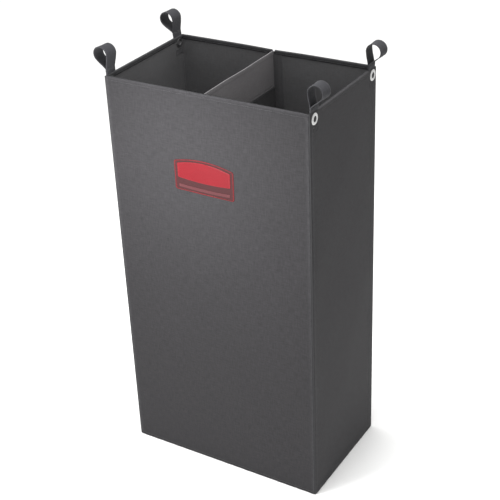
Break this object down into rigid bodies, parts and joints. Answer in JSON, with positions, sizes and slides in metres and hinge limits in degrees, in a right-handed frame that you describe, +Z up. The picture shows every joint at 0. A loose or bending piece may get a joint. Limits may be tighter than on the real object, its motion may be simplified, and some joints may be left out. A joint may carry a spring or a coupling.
{
  "type": "housekeeping cart bag",
  "caption": "Tall two-compartment fabric bag for a housekeeping cart, open at the top, with webbing hanging loops, eyelets and lift-up floor boards.",
  "frame": {"origin": "centre of the underside, on the floor", "axes": "+Z up, -Y towards the front wall with the badge, +X to the right side wall"},
  "size_m": [0.4953, 0.267, 0.906],
  "materials": {
    "shell_cloth": "grey woven polyester, slight sheen",
    "lining_cloth": "grey woven polyester, coated",
    "divider_band": "lighter woven polyester",
    "stiffener": "matt black plastic sheet",
    "seam": "folded seam allowance",
    "webbing": "tight woven webbing",
    "rim_tape": "flat binding tape",
    "nickel": "bright nickel plate",
    "base_cloth": "grey woven polyester",
    "badge": "soft moulded badge, dark red",
    "badge_plate": "soft moulded badge, red"
  },
  "bodies": {
    "bag": {"shell_front": "shell_cloth", "shell_back": "shell_cloth", "shell_left": "shell_cloth", "shell_right": "shell_cloth", "shell_bottom": "shell_cloth", "board_front": "stiffener", "board_back_left": "stiffener", "board_back_right": "stiffener", "board_left": "stiffener", "board_right": "stiffener", "corner_seam_front_left": "seam", "corner_seam_front_right": "seam", "corner_seam_back_left": "seam", "corner_seam_back_right": "seam", "lining_front": "lining_cloth", "lining_back_left": "lining_cloth", "lining_back_right": "lining_cloth", "lining_left": "lining_cloth", "lining_right": "lining_cloth", "lining_bottom": "lining_cloth", "rim_tape_front": "rim_tape", "rim_tape_back_left": "rim_tape", "rim_tape_back_right": "rim_tape", "rim_tape_left": "rim_tape", "rim_tape_right": "rim_tape", "divider_sleeve": "lining_cloth", "divider_board": "stiffener", "divider_band": "divider_band", "divider_flange_front": "lining_cloth", "divider_flange_back": "lining_cloth", "loop_tail_front_left": "webbing", "loop_tail_front_right": "webbing", "loop_tail_back_left": "webbing", "loop_tail_back_right": "webbing", "eyelet_front_left": "nickel", "eyelet_front_right": "nickel", "eyelet_back_left": "nickel", "eyelet_back_right": "nickel", "eyelet_washer_front_left": "nickel", "eyelet_washer_front_right": "nickel", "eyelet_washer_back_left": "nickel", "eyelet_washer_back_right": "nickel", "base_hinge_tape_left": "rim_tape", "base_hinge_tape_right": "rim_tape", "badge_patch": "badge", "badge_plate": "badge_plate"},
    "base_left": {"base_board_left": "stiffener", "base_cover_left": "base_cloth", "base_tab_left": "webbing"},
    "base_right": {"base_board_right": "stiffener", "base_cover_right": "base_cloth", "base_tab_right": "webbing"},
    "loop_front_left_body": {"loop_front_left": "webbing"},
    "loop_front_right_body": {"loop_front_right": "webbing"},
    "loop_back_left_body": {"loop_back_left": "webbing"},
    "loop_back_right_body": {"loop_back_right": "webbing"}
  },
  "joints": [
    {"name": "base_left_lift", "type": "hinge", "parent": "bag", "child": "base_left", "pos_m": [-0.2156, 0, 0.0069], "axis": [0, -1, 0], "range_deg": [0, 88]},
    {"name": "base_right_lift", "type": "hinge", "parent": "bag", "child": "base_right", "pos_m": [0.2156, 0, 0.0069], "axis": [0, 1, 0], "range_deg": [0, 88]},
    {"name": "loop_front_left_flex", "type": "hinge", "parent": "bag", "child": "loop_front_left_body", "pos_m": [-0.2194, -0.114, 0.8521], "axis": [0, -1, 0], "range_deg": [-80, 85], "stiffness_Nm_per_rad": 0.04},
    {"name": "loop_front_right_flex", "type": "hinge", "parent": "bag", "child": "loop_front_right_body", "pos_m": [0.2194, -0.114, 0.8521], "axis": [0, 1, 0], "range_deg": [-80, 85], "stiffness_Nm_per_rad": 0.04},
    {"name": "loop_back_left_flex", "type": "hinge", "parent": "bag", "child": "loop_back_left_body", "pos_m": [-0.2194, 0.114, 0.8521], "axis": [0, -1, 0], "range_deg": [-85, 80], "stiffness_Nm_per_rad": 0.04},
    {"name": "loop_back_right_flex", "type": "hinge", "parent": "bag", "child": "loop_back_right_body", "pos_m": [0.2194, 0.114, 0.8521], "axis": [0, 1, 0], "range_deg": [-80, 85], "stiffness_Nm_per_rad": 0.04}
  ]
}
